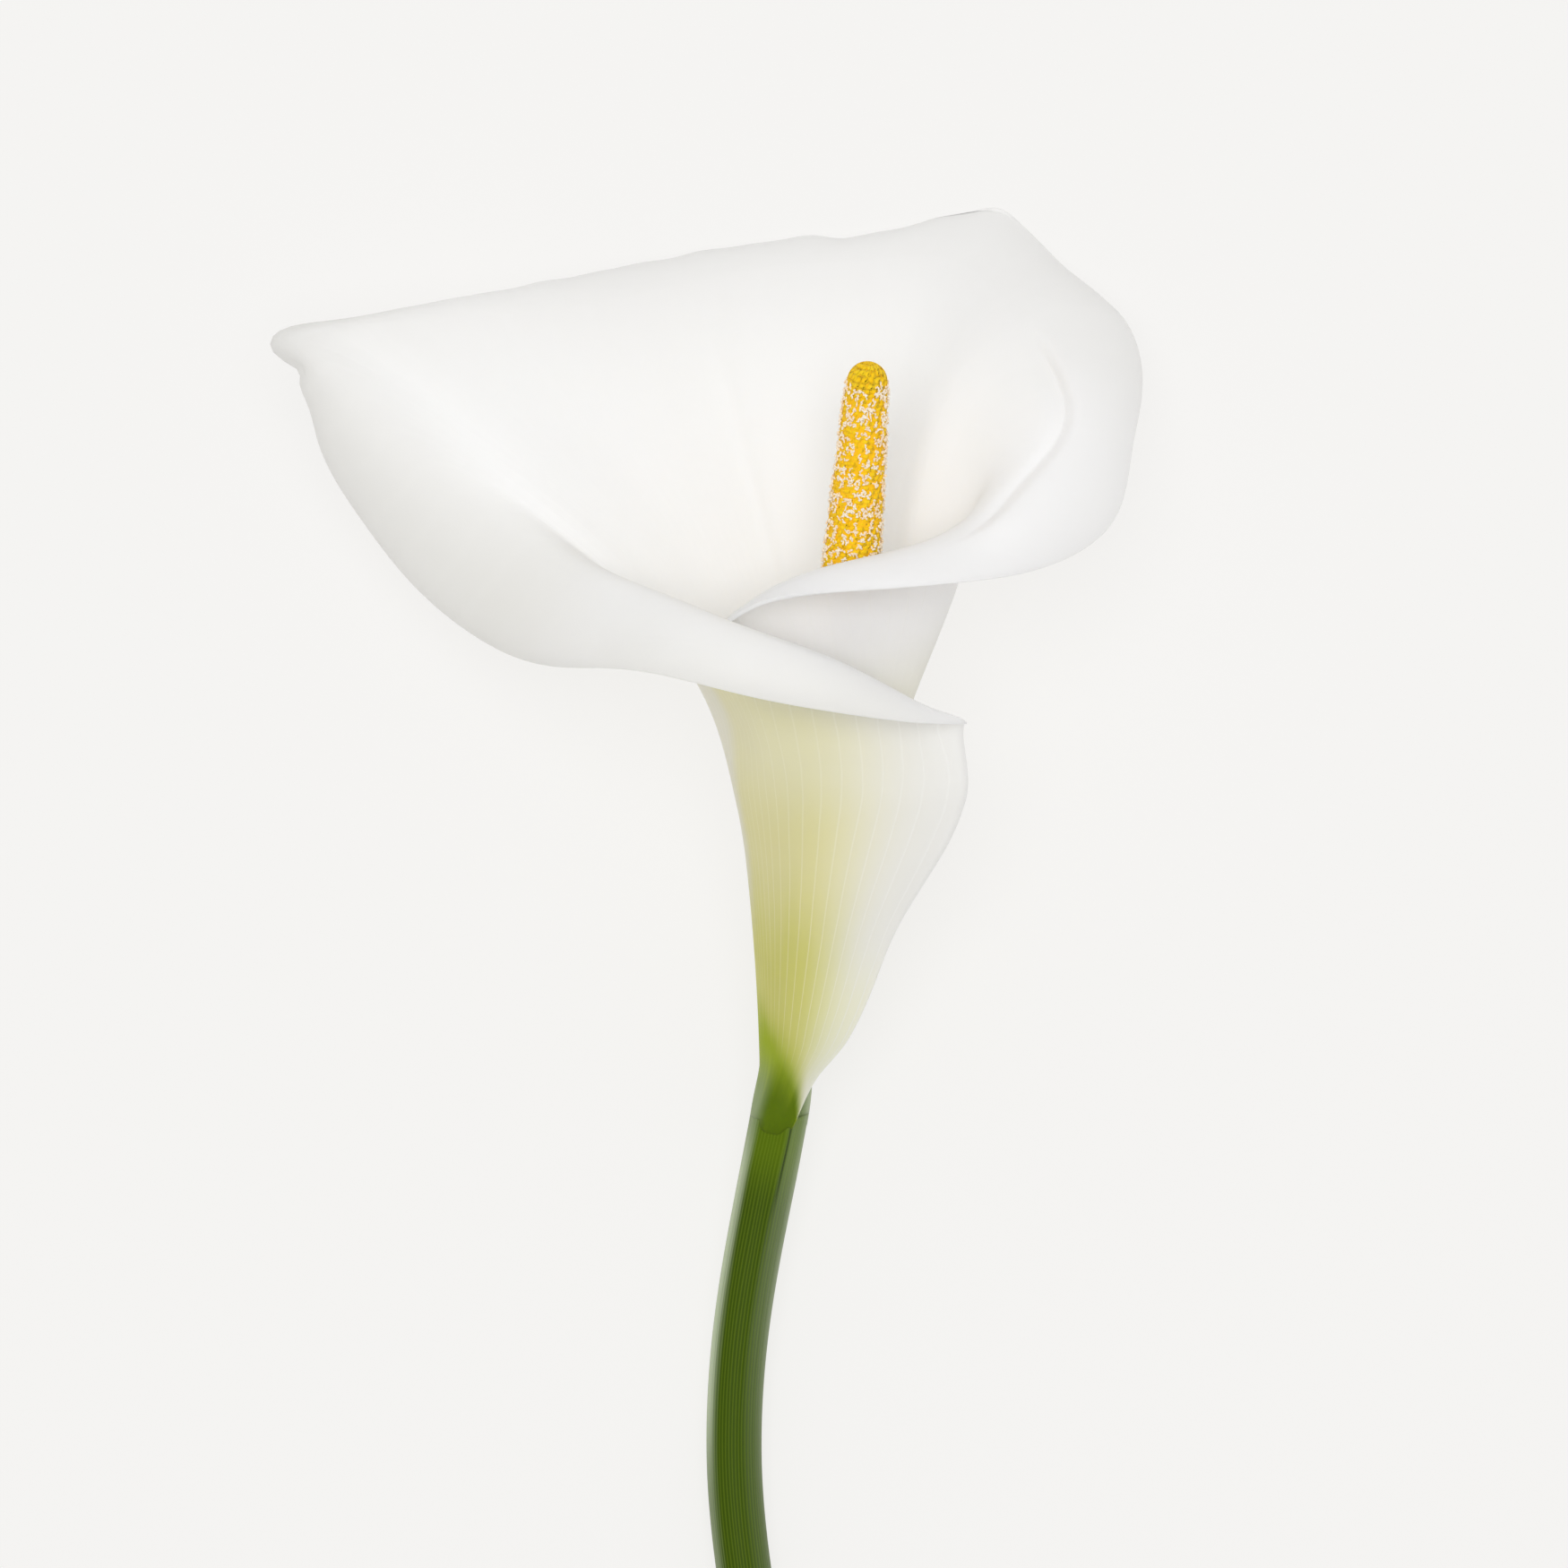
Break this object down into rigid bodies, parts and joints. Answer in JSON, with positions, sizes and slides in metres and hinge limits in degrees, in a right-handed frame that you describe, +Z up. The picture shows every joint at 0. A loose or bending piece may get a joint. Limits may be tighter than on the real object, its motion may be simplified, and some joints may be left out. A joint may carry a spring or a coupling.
{
  "type": "arum lily flower",
  "caption": "Cut arum lily: a white funnel-shaped spathe with rolled edges round a yellow pollen-covered spadix, on a gently curved green stem, lying on its back.",
  "frame": {"origin": "On the surface that the flower lies on, under the middle of its outline.", "axes": "Y runs from the cut end of the stem towards the bloom, X runs across the bloom with the curled tip on the negative side, and Z is up, out of the funnel's open front."},
  "size_m": [0.1211, 0.2687, 0.0538],
  "materials": {
    "stem": "satin",
    "spathe": "satin",
    "spadix": "matte"
  },
  "bodies": {
    "root": {"stem": "stem", "spathe": "spathe", "spadix": "spadix"}
  },
  "joints": []
}
